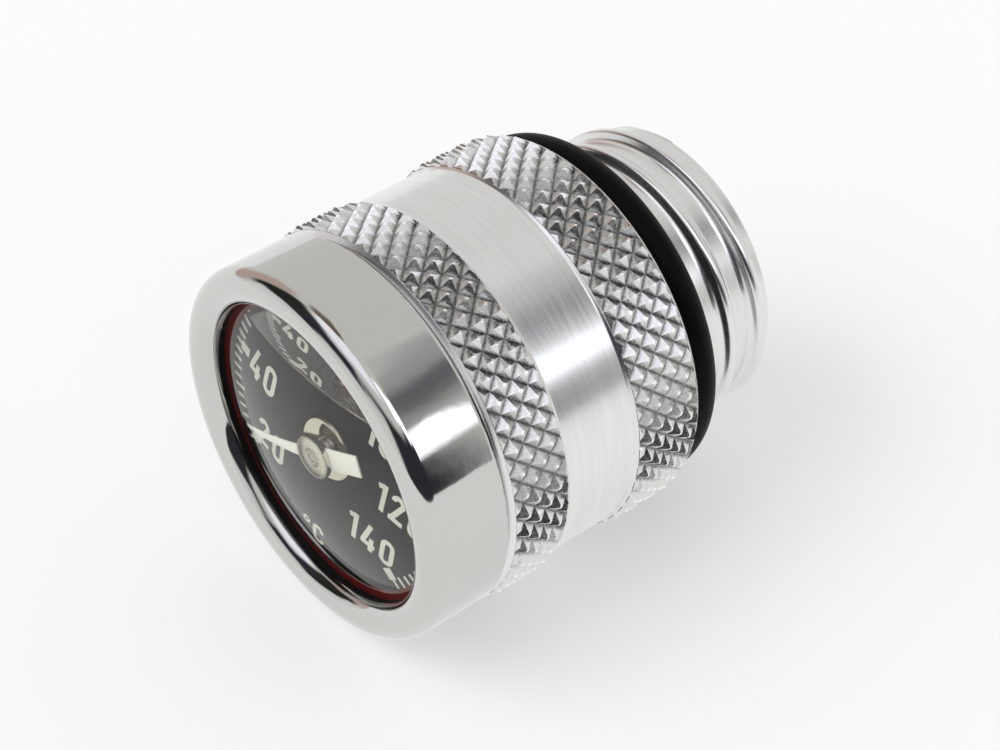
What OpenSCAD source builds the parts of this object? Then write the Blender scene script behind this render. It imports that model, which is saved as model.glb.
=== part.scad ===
// Screw-in oil temperature gauge: a liquid-filled dial head that turns in a knurled, threaded filler screw.
// The main axis is Y. The origin is the centre of the flange's sealing face, the threaded neck points to +Y,
// the dial faces -Y and +Z is up.

/* [Knurled screw body] */
// Height of the knurling's tips over the waist and the flange's rim
knurl_rise = 0.48; // [0.4:0.02:0.6]
// Width of the flange's rim outside the sealing ring
rim_w = 0.35; // [0.3:0.05:0.6]
// Height of the knurl's pyramids
knurl_depth = 0.65; // [0.4:0.05:0.8]
// Pyramids round one row of the knurling
knurl_count = 52; // [40:1:64]
// Length of the knurled band next to the flange
rear_band_l = 5.8; // [4.5:0.1:7]
// Length of the knurled band next to the bezel
front_band_l = 4.9; // [4:0.1:7]
// Length of the polished waist between the bands
waist_l = 6.4; // [5:0.05:9]
// Axial length of the chamfer at each band's end
edge_chamfer = 0.25; // [0.15:0.05:0.4]
// Wall between the knurling's tips and the bore that takes the dial head
body_wall = 2.3; // [2.1:0.05:2.6]
// Width of the slope from the knurling's tips to the body's front face
front_slope_w = 0.75; // [0.5:0.05:1]
// Thickness of the web that carries the dial head
web_t = 3; // [2:0.1:5]
// Radius of the hole through the web
web_bore_r = 5; // [4.6:0.1:6]
// Axial gap between the bezel and the body
seam_gap = 0.1; // [0.05:0.01:0.3]

/* [Threaded neck] */
// Length of the neck from the flange
neck_l = 11.1; // [9:0.1:16]
// Crest radius of the thread
thread_r = 12; // [11.6:0.1:12.4]
// Thread pitch
thread_pitch = 3; // [2:0.1:3.4]
// Depth of the thread
thread_depth = 0.7; // [0.4:0.05:0.9]
// Flat on the thread's crest, along the axis
thread_crest_w = 0.5; // [0.3:0.05:0.8]
// Plain length between the flange and the thread
neck_relief_l = 4.9; // [4:0.1:6]
// Wall of the neck below the thread
neck_wall = 2.7; // [1.9:0.1:3.8]
// Section diameter of the flange's sealing ring
seal_d = 3.3; // [2.6:0.1:3.4]

/* [Bezel and lens] */
// Step from the knurling's tips down to the bezel
bezel_step = 0.3; // [0.1:0.05:0.6]
// Width of the bezel's front, from its outside to its opening
lip_w = 2.94; // [2.7:0.02:3.2]
// Overall length of the bezel along the axis
bezel_l = 7.1; // [6.6:0.1:8]
// Radius of the bezel's rounded front
bezel_round = 1.45; // [1.1:0.05:1.5]
// Height of the rounded front above the lip's inner edge
lip_rise = 1.05; // [0.8:0.05:1.3]
// Wall of the bezel's skirt
bezel_wall = 1.3; // [1.1:0.05:1.4]
// Thickness of the bezel's lip at its inner edge
lip_t = 0.3; // [0.2:0.05:0.5]
// Length of the rim rolled in behind the head
roll_l = 0.45; // [0.3:0.05:0.7]
// Thickness of the ring between the bezel's lip and the lens
front_ring_t = 0.53; // [0.3:0.01:0.8]
// Rise of the lens's dome over its clamped rim
lens_rise = 2.03; // [1.4:0.01:2.4]
// Thickness of the lens in its middle
lens_t = 1.5; // [1:0.1:1.7]
// Thickness of the lens's clamped rim
lens_rim_t = 1.2; // [0.9:0.1:1.6]
// Thickness of the gasket behind the lens
gasket_t = 0.6; // [0.4:0.1:1]

/* [Dial head] */
// Width of the case's flange, which is also its wall round the dial
case_wall = 1.88; // [1.6:0.02:2.1]
// Depth of the dial's face behind the lens's rim
dial_depth = 2.63; // [2.5:0.01:3]
// Thickness of the dial plate
dial_t = 0.5; // [0.3:0.1:0.8]
// Wall of the black spacer ring
spacer_wall = 0.73; // [0.5:0.01:1]
// Hollow behind the dial
under_dial = 2.74; // [2.2:0.01:3.2]
// Thickness of the case's floor
floor_t = 1.5; // [1.2:0.1:2.4]
// Thickness of the bearing washer behind the case
washer_t = 0.4; // [0.3:0.05:0.8]
// Running clearance between turning pieces, at the radius
run_gap = 0.05; // [0.03:0.01:0.08]
// Clearance between pieces seated in each other
seat_gap = 0.02; // [0.01:0.01:0.04]
// Section diameter of the ring that brakes the head
brake_ring_d = 1; // [0.8:0.1:1.2]
// Turn of the dial from upright, clockwise from the front
dial_turn = 11.8; // [-180:0.1:180]

/* [Scale] */
// Angle from the lowest to the highest mark
scale_sweep = 266; // [180:1:300]
// Lowest temperature on the scale
scale_low = 20; // [0:20:40]
// Step between the printed numbers
scale_step = 20; // [20:20:40]
// Number of steps on the scale
scale_steps = 6; // [4:1:6]
// Divisions in each step
step_divisions = 10; // [4:2:10]
// Gap between the marks and the spacer ring
mark_gap = 0.05; // [0.05:0.05:0.8]
// Length of a short mark
mark_l = 1; // [0.4:0.1:1.2]
// Distance from the marks' outer ends in to the numbers' middles
number_inset = 3.7; // [3.2:0.1:4.4]
// Height of the printed numbers
digit_h = 2.65; // [2:0.05:3]
// Stroke of the printed numbers
digit_stroke = 0.42; // [0.3:0.02:0.5]
// Thickness of the print
print_t = 0.06; // [0.04:0.01:0.1]

/* [Pointer] */
// Temperature that the pointer shows at rest
rest_temperature = 23.6; // [20:0.1:40]
// Gap between the pointer's tip and the spacer ring
needle_gap = 1.45; // [1.2:0.05:4]
// Distance from the axis to the tail's end
tail_l = 4.85; // [3:0.05:6]
// Width of the tail
tail_w = 1.7; // [1:0.1:2.4]
// Width of the needle beside the hub
needle_w = 1; // [0.6:0.1:1.6]
// Width of the needle at its tip
tip_w = 0.3; // [0.2:0.05:0.6]
// Thickness of the pointer
pointer_t = 0.25; // [0.2:0.05:0.4]
// Height of the pointer above the dial
pointer_lift = 2.33; // [2:0.01:2.6]
// Radius of the pointer's hub
hub_r = 1.7; // [1.4:0.1:2.4]
// Thickness of the pointer's hub
hub_t = 0.8; // [0.5:0.1:1]
// Radius of the bearing boss on the dial
boss_r = 2.55; // [2.2:0.05:3.6]
// Height of the bearing boss above the dial
boss_h = 0.6; // [0.5:0.1:1]
// Radius of the spindle
spindle_r = 0.5; // [0.4:0.05:0.8]

/* [Stem and bimetal coil] */
// Outer radius of the sensing stem
stem_r = 3; // [2.6:0.1:3.6]
// Wall of the sensing stem
stem_wall = 0.4; // [0.3:0.05:0.6]
// Length of the stem beyond the neck
stem_reach = 3; // [1:0.5:4.5]
// Turns of the bimetal coil
coil_turns = 12; // [6:1:16]
// Width of the bimetal strip, along the axis
strip_w = 0.55; // [0.4:0.05:0.7]
// Thickness of the bimetal strip
strip_t = 0.2; // [0.15:0.05:0.3]
// Gap between the coil and the stem's wall
coil_gap = 0.35; // [0.2:0.05:0.6]

/* [Liquid filling] */
// Height of the liquid's level above the axis
oil_level = 7.1; // [4:0.1:10]

/* [Hidden] */
$fn = 96;
tiny = 0.01;
through = 1;

// Radii from the thread outwards: the neck carries the sealing ring, the ring sets the body and the head
neck_core_r = thread_r - thread_depth;
neck_bore_r = neck_core_r - neck_wall;
seal_fit = 0.07;
seal_recess = 0.15;
seal_seat_r = neck_core_r + seal_d + seal_fit;
waist_r = seal_seat_r + rim_w;
knurl_r = waist_r + knurl_rise;
front_face_r = knurl_r - front_slope_w;
front_bore_r = knurl_r - body_wall;
bezel_r = knurl_r - bezel_step;
opening_r = bezel_r - lip_w;

// Knurling
knurl_root = knurl_r - knurl_depth;
band_overlap = 0.3;
// Lets the coarse meshes of the turned circles stay clear of each band's end
band_margin = 0.08;
core_r = knurl_root - 0.2;
half_pitch = PI * knurl_r / knurl_count;
rear_band_rows = round((rear_band_l - 0.1) / half_pitch);
front_band_rows = round((front_band_l - 0.1) / half_pitch);
band_edge_r = knurl_root + 0.45 * knurl_depth;
band_rim_r = band_edge_r + band_margin;

// Stations along the axis, from the flange's sealing face towards the dial
rear_band_s = -edge_chamfer - rear_band_l;
waist_s = rear_band_s - edge_chamfer - waist_l;
front_band_s = waist_s - edge_chamfer - front_band_l;
body_front_s = front_band_s - 0.4;
bezel_rear_s = body_front_s - seam_gap;
bezel_front_s = bezel_rear_s - bezel_l;
lip_s = bezel_front_s + lip_rise;
lip_back_s = lip_s + lip_t;
lens_rim_s = lip_back_s + front_ring_t;
gasket_s = lens_rim_s + lens_rim_t;
case_front_s = gasket_s + gasket_t;
case_flange_end_s = bezel_rear_s - roll_l;
dial_s = gasket_s + dial_depth;
dial_back_s = dial_s + dial_t;
case_floor_s = dial_back_s + under_dial;
case_rear_s = case_floor_s + floor_t;
web_front_s = case_rear_s + washer_t + run_gap;
web_rear_s = web_front_s + web_t;

// Dial head
case_r = front_bore_r - run_gap;
flange_r = bezel_r - bezel_wall - seat_gap;
case_bore_r = flange_r - case_wall;
washer_w = 5;
lens_r = flange_r;
lens_apex_s = lens_rim_s - lens_rise;
lens_ball_r = (pow(opening_r, 2) + pow(lens_rise, 2)) / (2 * lens_rise);
lens_ball_s = lens_apex_s + lens_ball_r;
lens_dome_r = opening_r - 0.06;
dial_r = case_bore_r - seat_gap;
spacer_r = dial_r - spacer_wall;
dial_shelf = 0.9;
spacer_chamfer = 0.9;
spigot_r = web_bore_r - run_gap;
clip_t = 0.45;
clip_groove_r = spigot_r - 0.6;
clip_s = web_rear_s + run_gap;
spigot_end_s = clip_s + clip_t + 0.8;
clip_r = spigot_r + 1.7;
brake_groove_w = brake_ring_d + 0.3;
brake_s = case_floor_s + floor_t / 2 - 0.2;
fill_plug_r = 0.9;
fill_plug_x = 7.5;

// Pointer and spindle
pointer_s = dial_s - pointer_lift;
hub_s = pointer_s - hub_t;
boss_top_s = dial_s - boss_h;
boss_spigot_r = 1.2;
rest_angle = dial_turn - scale_sweep / 2
    + (rest_temperature - scale_low) * scale_sweep / (scale_step * scale_steps);
spindle_reach = 7;
spindle_end_s = web_rear_s + spindle_reach;
needle_l = spacer_r - needle_gap;
collar_t = 0.6;
thrust_collar_r = 0.9;
thrust_collar_t = 0.5;

// Stem
stem_bore_r = stem_r - stem_wall;
stem_start_s = case_floor_s + 0.5;
stem_end_s = neck_l + stem_reach - 0.4;
guide_l = 2.6;
plug_l = 1.2;
anchor_t = 0.6;
coil_r = stem_bore_r - coil_gap - strip_t / 2;
coil_start_s = spindle_end_s + tiny;
coil_end_s = stem_end_s - plug_l - anchor_t - 0.3;
coil_steps = 16;

// Thread
thread_root_r = neck_core_r - band_margin;
neck_chamfer = 0.25;
thread_start_s = neck_relief_l;
thread_end_s = neck_l - neck_chamfer;
thread_phase = -150;
thread_columns = 72;

// Filling
level_gap = 0.05;
oil_r = spacer_r - level_gap;

// Turned shapes: the profile's x is the radius and its y is the place along the axis
module turned() {
    rotate([-90, 0, 0]) rotate_extrude() children();
}

// A ring of rectangular section, solid where the inner radius is 0
module ring(inner, outer, from, to) {
    turned() translate([inner, from]) square([outer - inner, to - from]);
}

// A flat shape as seen from the front, raised towards the viewer from the station s
module facing(s, t) {
    translate([0, s, 0]) rotate([90, 0, 0]) linear_extrude(t) children();
}

// Puts a child at an angle, in degrees clockwise from the top as seen from the front
module at_angle(angle) {
    rotate([0, 0, -angle]) children();
}

function on_axis(r, angle, s) = [r * cos(angle), s, -r * sin(angle)];

function arc(cx, cy, r, from, to, n) = [
    for (i = [0:n]) let (a = from + (to - from) * i / n) [cx + r * cos(a), cy + r * sin(a)]
];

// Closed band between an outer grid of points, given row by row, and a plain inner radius.
// Column "around" meets column 0 again, "shift" rows further on where the rows climb.
module lattice_band(outer, rows, around, inner_r, from, to, phase, shift, alternate) {
    first_inner = (rows + 1) * around;
    inner = [
        for (s = [from, to], j = [0:around - 1]) on_axis(inner_r, phase + j * 360 / around, s)
    ];
    function at(m, j) = j < around ? m * around + j : min(m + shift, rows) * around;
    function inner_at(j) = first_inner + j % around;
    function quad(a, b, c, d, flip) = flip ? [[a, b, c], [a, c, d]] : [[a, b, d], [b, c, d]];
    quads = [
        for (m = [0:rows - 1], j = [0:around - 1])
            quad(at(m, j), at(m + 1, j), at(m + 1, j + 1), at(m, j + 1), alternate && (m + j) % 2 == 1),
        for (j = [0:around - 1]) quad(at(0, j), at(0, j + 1), inner_at(j + 1), inner_at(j), true),
        for (j = [0:around - 1])
            quad(at(rows, j), inner_at(j) + around, inner_at(j + 1) + around, at(rows, j + 1), true),
        for (j = [0:around - 1])
            quad(inner_at(j), inner_at(j + 1), inner_at(j + 1) + around, inner_at(j) + around, true)
    ];
    polyhedron(concat(outer, inner), [for (q = quads, face = q) face], convexity = 8);
}

// Knurling of square pyramids: the grid's even points are tips and its odd points are groove crossings
module knurl_band(start, length, rows) {
    around = 2 * knurl_count;
    function grid_r(m, j) = m == 0 || m == rows ? band_edge_r : (m + j) % 2 == 0 ? knurl_r : knurl_root;
    points = [
        for (m = [0:rows], j = [0:around - 1])
            on_axis(grid_r(m, j), j * 360 / around, start + length * m / rows)
    ];
    lattice_band(points, rows, around, core_r - 0.5, start, start + length, 0, 0, true);
}

// Right-hand thread: each pitch has four rows, at the foot and the crest of both flanks
module thread_band() {
    flank = thread_depth * tan(30);
    offsets = [0, flank, flank + thread_crest_w, 2 * flank + thread_crest_w];
    radii = [thread_root_r, thread_r, thread_r, thread_root_r];
    turns = ceil((thread_end_s - thread_start_s) / thread_pitch) + 1;
    rows = 4 * turns + 3;
    function row_s(m, j) = thread_start_s + offsets[m % 4]
        + thread_pitch * (floor(m / 4) - 1 + j / thread_columns);
    function held(s) = max(thread_start_s, min(thread_end_s, s));
    function row_r(m, s) = s <= thread_start_s || s >= thread_end_s
        ? thread_root_r
        : min(radii[m % 4], thread_root_r + thread_end_s - s);
    points = [
        for (m = [0:rows], j = [0:thread_columns - 1])
            let (s = row_s(m, j))
            on_axis(row_r(m, s), thread_phase + j * 360 / thread_columns, held(s))
    ];
    lattice_band(points, rows, thread_columns, neck_core_r - 0.6, thread_start_s, thread_end_s, thread_phase, 4,
        false);
}

// Closed tube swept through rings of four points
module four_sided_sweep(rings) {
    n = len(rings);
    points = [for (r = rings, p = r) p];
    sides = [
        for (i = [0:n - 2], k = [0:3], side = [0, 1])
            let (a = 4 * i + k, b = 4 * i + (k + 1) % 4)
            side == 0 ? [a, a + 4, b] : [b, a + 4, b + 4]
    ];
    caps = [[0, 1, 2], [0, 2, 3], [4 * n - 1, 4 * n - 2, 4 * n - 3], [4 * n - 1, 4 * n - 3, 4 * n - 4]];
    polyhedron(points, concat(sides, caps), convexity = 10);
}

module knurled_body() {
    color("silver") {
        turned() polygon([
            [front_bore_r, body_front_s],
            [front_face_r, body_front_s],
            [band_rim_r, front_band_s],
            [core_r, front_band_s],
            [core_r, front_band_s + front_band_l],
            [band_rim_r, front_band_s + front_band_l],
            [waist_r, waist_s],
            [waist_r, waist_s + waist_l],
            [band_rim_r, rear_band_s],
            [core_r, rear_band_s],
            [core_r, -edge_chamfer],
            [band_rim_r, -edge_chamfer],
            [seal_seat_r + rim_w, 0],
            [seal_seat_r, 0],
            [seal_seat_r, -seal_recess],
            [neck_core_r, -seal_recess],
            [neck_core_r, thread_start_s],
            [neck_core_r - band_overlap, thread_start_s],
            [neck_core_r - band_overlap, thread_end_s],
            [neck_core_r, thread_end_s],
            [neck_core_r - neck_chamfer, neck_l],
            [neck_bore_r, neck_l],
            [neck_bore_r, web_rear_s],
            [web_bore_r, web_rear_s],
            [web_bore_r, web_front_s],
            [front_bore_r, web_front_s]
        ]);
        knurl_band(front_band_s, front_band_l, front_band_rows);
        knurl_band(rear_band_s, rear_band_l, rear_band_rows);
        thread_band();
    }
}

module flange_seal_ring() {
    color("black") turned() translate([neck_core_r + seal_d / 2, seal_d / 2 - seal_recess]) circle(d = seal_d);
}

module thrust_washer() {
    color("gainsboro") ring(web_bore_r + run_gap, web_bore_r + washer_w, web_front_s - washer_t, web_front_s);
}

// The filling stays level while the head turns round it, and is hollow where the pointer sweeps
module damping_oil() {
    back = dial_s - print_t - level_gap;
    front_ball_r = lens_ball_r - lens_t - level_gap;
    sweep_r = needle_l + 0.2;
    sweep_front = pointer_s - level_gap;
    sweep_back = pointer_s + pointer_t + level_gap;
    dome_steps = 16;
    color("wheat", 0.3) difference() {
        turned() polygon(concat(
            [for (i = [0:dome_steps]) let (r = oil_r * i / dome_steps)
                [r, lens_ball_s - sqrt(pow(front_ball_r, 2) - pow(r, 2))]],
            [
                [oil_r, back],
                [boss_r + level_gap, back],
                [boss_r + level_gap, sweep_back],
                [sweep_r, sweep_back],
                [sweep_r, sweep_front],
                [hub_r + level_gap, sweep_front],
                [hub_r + level_gap, hub_s - level_gap],
                [0, hub_s - level_gap]
            ]
        ));
        translate([-oil_r - through, lens_apex_s - through, oil_level])
            cube([2 * (oil_r + through), dial_back_s - lens_apex_s + through, oil_r]);
    }
}

module case() {
    groove_r = case_r - brake_ring_d - seat_gap;
    color("tan") difference() {
        turned() polygon([
            [case_bore_r, case_front_s],
            [flange_r, case_front_s],
            [flange_r, case_flange_end_s],
            [case_r, case_flange_end_s],
            [case_r, brake_s - brake_groove_w / 2],
            [groove_r, brake_s - brake_groove_w / 2],
            [groove_r, brake_s + brake_groove_w / 2],
            [case_r, brake_s + brake_groove_w / 2],
            [case_r, case_rear_s],
            [spigot_r, case_rear_s],
            [spigot_r, clip_s],
            [clip_groove_r, clip_s],
            [clip_groove_r, clip_s + clip_t + seat_gap],
            [spigot_r, clip_s + clip_t + seat_gap],
            [spigot_r, spigot_end_s],
            [stem_r + seat_gap, spigot_end_s],
            [stem_r + seat_gap, stem_start_s],
            [spindle_r + 0.6, stem_start_s],
            [spindle_r + 0.6, case_floor_s],
            [case_bore_r - dial_shelf, case_floor_s],
            [case_bore_r - dial_shelf, dial_back_s],
            [case_bore_r, dial_back_s]
        ]);
        rotate([-90, 0, 0]) translate([fill_plug_x, 0, case_floor_s - through])
            cylinder(r = fill_plug_r + seat_gap, h = floor_t + 2 * through);
    }
}

module bezel() {
    arc_r = bezel_r - bezel_round;
    arc_s = bezel_front_s + bezel_round;
    bore = bezel_r - bezel_wall;
    rear_round = 0.45;
    lip_steps = 12;
    color("lightgray") turned() polygon(concat(
        [for (i = [0:lip_steps - 1]) let (a = 90 * i / lip_steps)
            [arc_r - (arc_r - opening_r) * cos(a), lip_back_s - (lip_back_s - bezel_front_s) * sin(a)]],
        arc(arc_r, arc_s, bezel_round, 270, 360, 14),
        arc(bezel_r - rear_round, bezel_rear_s - rear_round, rear_round, 0, 90, 6),
        [
            [case_r + run_gap, bezel_rear_s],
            [case_r + run_gap, case_flange_end_s],
            [bore, case_flange_end_s],
            [bore, lip_back_s]
        ]
    ));
}

module lens_front_ring() {
    color("black") ring(opening_r + seat_gap, lens_r, lip_back_s, lens_rim_s);
}

module lens() {
    color("white", 0.3) difference() {
        union() {
            intersection() {
                ring(0, lens_dome_r, lens_apex_s - through, gasket_s);
                translate([0, lens_ball_s, 0]) sphere(lens_ball_r);
            }
            ring(lens_dome_r - through, lens_r, lens_rim_s, gasket_s);
        }
        intersection() {
            ring(0, spacer_r + spacer_chamfer / 2, lens_apex_s, gasket_s + through);
            translate([0, lens_ball_s, 0]) sphere(lens_ball_r - lens_t);
        }
    }
}

module lens_gasket() {
    color("dimgray") ring(case_bore_r + seat_gap, lens_r, gasket_s, case_front_s);
}

module spacer_ring() {
    color("black") turned() polygon([
        [spacer_r, dial_s],
        [dial_r, dial_s],
        [dial_r, gasket_s],
        [spacer_r + spacer_chamfer * 0.7, gasket_s],
        [spacer_r, gasket_s + spacer_chamfer]
    ]);
}

module dial_plate() {
    color("black") ring(boss_spigot_r + seat_gap, dial_r, dial_s, dial_back_s);
}

// Straight stroke of the print from one point to another
module stroke(from, to) {
    d = to - from;
    n = [-d[1], d[0]] / norm(d) * digit_stroke / 2;
    polygon([from + n, from - n, to - n, to + n]);
}

// Upright outline with round ends, its lower left corner at the origin
module stadium(w, h) {
    translate([w / 2, w / 2]) circle(w / 2);
    translate([w / 2, h - w / 2]) circle(w / 2);
    translate([0, w / 2]) square([w, h - w]);
}

module loop(w, h) {
    difference() {
        stadium(w, h);
        translate([digit_stroke, digit_stroke]) stadium(w - 2 * digit_stroke, h - 2 * digit_stroke);
    }
}

function digit_w(d) = d == 1 ? 0.36 * digit_h : 0.5 * digit_h;

// One digit, its lower left corner at the origin
module digit(d) {
    w = digit_w(d);
    h = digit_h;
    half = digit_stroke / 2;
    if (d == 0) loop(w, h);
    if (d == 1) {
        stroke([w - half, 0], [w - half, h]);
        stroke([half * 0.6, h - 2.1 * half], [w - half, h - half * 0.9]);
    }
    if (d == 2) {
        difference() {
            translate([0, h - w]) loop(w, w + tiny);
            translate([-tiny, h - w - tiny]) square([w + 2 * tiny, w * 0.5]);
        }
        stroke([w - half, h - w / 2 + tiny], [half * 1.3, half]);
        stroke([0, half], [w, half]);
    }
    if (d == 4) {
        stroke([w * 0.55, h], [half, h * 0.3]);
        stroke([0, h * 0.24], [w, h * 0.24]);
        stroke([w * 0.72, 0], [w * 0.72, h * 0.52]);
    }
    if (d == 6) {
        loop(w, h * 0.6);
        difference() {
            loop(w, h);
            translate([digit_stroke, -tiny]) square([w, h - w / 2 - 0.1]);
            translate([-tiny, -tiny]) square([w, h * 0.3]);
        }
    }
    if (d == 8) {
        loop(w, h * 0.56);
        translate([w * 0.05, h * 0.56 - digit_stroke]) loop(w * 0.9, h * 0.44 + digit_stroke);
    }
}

function digits_of(n) = n >= 100 ? [1, floor(n / 10) % 10, n % 10] : [floor(n / 10), n % 10];

// A number centred on the origin
module number(n) {
    gap = 0.17 * digit_h;
    ds = digits_of(n);
    widths = [for (d = ds) digit_w(d) + gap];
    starts = [for (i = 0, x = 0; i < len(ds); x = x + widths[i], i = i + 1) x];
    total = starts[len(ds) - 1] + widths[len(ds) - 1] - gap;
    for (i = [0:len(ds) - 1])
        translate([starts[i] - total / 2, -digit_h / 2]) digit(ds[i]);
}

// Degree sign and unit letter
module unit_mark() {
    w = 0.5 * digit_h;
    translate([-w * 0.95, digit_h * 0.28]) difference() {
        circle(0.17 * digit_h);
        circle(0.17 * digit_h - digit_stroke * 0.6);
    }
    translate([-w * 0.35, -digit_h / 2]) difference() {
        loop(w, digit_h);
        translate([w / 2, digit_h * 0.3]) square([w, digit_h * 0.4]);
    }
}

module dial_print() {
    major_w = 0.82;
    major_l = 1.05;
    short_w = 0.26;
    mark_r = spacer_r - mark_gap;
    major_start_r = mark_r - mark_l * 0.8 - major_l;
    divisions = scale_steps * step_divisions;
    number_r = mark_r - number_inset;
    color("white") facing(dial_s, print_t) at_angle(dial_turn) {
        for (i = [0:divisions]) at_angle(scale_sweep * (i / divisions - 0.5)) {
            middle = i % step_divisions == step_divisions / 2;
            l = middle ? 1.3 * mark_l : mark_l;
            translate([-short_w / 2, mark_r - l]) square([short_w, l]);
            if (i % step_divisions == 0)
                translate([-major_w / 2, major_start_r]) square([major_w, major_l]);
        }
        for (i = [0:scale_steps]) {
            a = scale_sweep * (i / scale_steps - 0.5);
            wide = scale_low + i * scale_step >= 100 ? digit_h * 0.2 : 0;
            translate([(number_r - wide) * sin(a), (number_r - wide) * cos(a)])
                number(scale_low + i * scale_step);
        }
        translate([0, -mark_r + digit_h * 0.52]) scale(0.85) unit_mark();
    }
}

module dial_bearing_boss() {
    round_r = 0.35;
    bore = spindle_r + run_gap;
    color("silver") turned() polygon(concat(
        [[bore, boss_top_s]],
        arc(boss_r - round_r, boss_top_s + round_r, round_r, 270, 360, 6),
        [
            [boss_r, dial_s],
            [boss_spigot_r, dial_s],
            [boss_spigot_r, dial_back_s + 0.5],
            [bore, dial_back_s + 0.5]
        ]
    ));
}

module brake_ring() {
    color("black") turned() translate([case_r - brake_ring_d / 2, brake_s]) circle(d = brake_ring_d);
}

module retaining_clip() {
    slot_w = 2 * clip_groove_r * 0.7;
    color("gray") difference() {
        ring(clip_groove_r + seat_gap, clip_r, clip_s + seat_gap, clip_s + clip_t);
        translate([-slot_w / 2, clip_s - through, -clip_r - through])
            cube([slot_w, clip_t + 2 * through, clip_r + through]);
    }
}

module fill_plug() {
    color("goldenrod") rotate([-90, 0, 0]) translate([fill_plug_x, 0, case_floor_s])
        cylinder(r = fill_plug_r, h = floor_t - seat_gap);
}

module stem_tube() {
    color("silver") ring(stem_bore_r, stem_r, stem_start_s, stem_end_s);
}

module stem_guide_bush() {
    color("goldenrod")
        ring(spindle_r + run_gap, stem_bore_r - seat_gap, stem_start_s, stem_start_s + guide_l);
}

module stem_plug() {
    color("silver") {
        ring(0, stem_r, stem_end_s, stem_end_s + 0.4);
        ring(0, stem_bore_r - seat_gap, stem_end_s - plug_l, stem_end_s + tiny);
    }
}

module coil_anchor() {
    color("goldenrod") ring(0, stem_bore_r - seat_gap, coil_end_s + tiny, stem_end_s - plug_l);
}

module pointer() {
    color("white") facing(pointer_s + pointer_t, pointer_t) at_angle(rest_angle) difference() {
        union() {
            polygon([[-needle_w / 2, 0], [needle_w / 2, 0], [tip_w / 2, needle_l], [-tip_w / 2, needle_l]]);
            translate([-tail_w / 2, -tail_l]) square([tail_w, tail_l]);
            circle(hub_r - 0.3);
        }
        circle(spindle_r + seat_gap);
    }
}

module pointer_hub() {
    rim = 0.12;
    color("silver") turned() polygon([
        [0, hub_s],
        [hub_r - rim, hub_s],
        [hub_r, hub_s + rim],
        [hub_r, pointer_s],
        [spindle_r + seat_gap, pointer_s],
        [spindle_r + seat_gap, hub_s + 0.3],
        [0, hub_s + 0.3]
    ]);
}

module spindle() {
    color("silver") ring(0, spindle_r, hub_s + 0.3, spindle_end_s - collar_t);
}

// Carries the pointer on the bearing boss
module spindle_collar() {
    color("goldenrod")
        ring(spindle_r + seat_gap, thrust_collar_r, boss_top_s - run_gap - thrust_collar_t, boss_top_s - run_gap);
}

module coil_collar() {
    color("goldenrod") turned() polygon([
        [0, spindle_end_s - collar_t],
        [coil_r + strip_t, spindle_end_s - collar_t],
        [coil_r + strip_t, spindle_end_s],
        [0, spindle_end_s]
    ]);
}

module bimetal_coil() {
    rise = coil_end_s - coil_start_s - strip_w;
    steps = coil_turns * coil_steps;
    rings = [
        for (i = [0:steps])
            let (angle = 360 * i / coil_steps, s = coil_start_s + rise * i / steps)
            [
                on_axis(coil_r - strip_t / 2, angle, s),
                on_axis(coil_r + strip_t / 2, angle, s),
                on_axis(coil_r + strip_t / 2, angle, s + strip_w),
                on_axis(coil_r - strip_t / 2, angle, s + strip_w)
            ]
    ];
    color("chocolate") four_sided_sweep(rings);
}

knurled_body();
flange_seal_ring();
thrust_washer();
damping_oil();
case();
bezel();
lens_front_ring();
lens();
lens_gasket();
spacer_ring();
dial_plate();
dial_print();
dial_bearing_boss();
brake_ring();
retaining_clip();
fill_plug();
stem_tube();
stem_guide_bush();
stem_plug();
coil_anchor();
pointer();
pointer_hub();
spindle();
spindle_collar();
coil_collar();
bimetal_coil();
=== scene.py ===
"""Looks of a screw-in oil temperature gauge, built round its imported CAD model.

Everything is in metres in the CAD frame: the main axis is Y, the threaded neck points to +Y, the dial faces
-Y and +Z is up. The classes below hold their sizes in millimetres, as a drawing of the gauge would, and call
a place along the axis a station.
"""

from __future__ import annotations

import logging
import math
from collections.abc import Iterator, Sequence
from contextlib import contextmanager
from dataclasses import dataclass
from enum import Enum

import bmesh
import bpy
import numpy as np
from mathutils import Matrix, Vector


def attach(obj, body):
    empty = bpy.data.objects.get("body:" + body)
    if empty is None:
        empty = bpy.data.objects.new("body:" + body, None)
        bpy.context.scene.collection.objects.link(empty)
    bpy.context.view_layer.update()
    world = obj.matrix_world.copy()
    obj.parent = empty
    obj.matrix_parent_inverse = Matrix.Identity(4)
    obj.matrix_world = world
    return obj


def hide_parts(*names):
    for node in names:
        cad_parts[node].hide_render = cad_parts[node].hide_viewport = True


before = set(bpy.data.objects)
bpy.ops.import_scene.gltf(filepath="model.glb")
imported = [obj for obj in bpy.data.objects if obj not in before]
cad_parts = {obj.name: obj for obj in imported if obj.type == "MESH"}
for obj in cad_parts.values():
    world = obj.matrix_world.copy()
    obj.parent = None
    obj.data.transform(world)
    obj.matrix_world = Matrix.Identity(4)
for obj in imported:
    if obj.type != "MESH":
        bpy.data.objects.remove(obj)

LOG = logging.getLogger("oil_gauge")
MM = 0.001
ROUND_STEPS = 256
SMALL_ROUND_STEPS = 128
MERGE_DISTANCE = 2e-6

# Width of the small bevel on machined and cut edges, in millimetres
EDGE_BREAK = 0.04
# Nearly all values of a noise texture lie between these two
NOISE = {"From Min": 0.3, "From Max": 0.7}

Point = tuple[float, float]
Colour = tuple[float, float, float, float]
Socket = bpy.types.NodeSocket


class Body(Enum):
    """The CAD bodies that a piece may ride on."""

    SCREW = "screw"
    HEAD = "head"
    POINTER = "pointer_movement"


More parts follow.
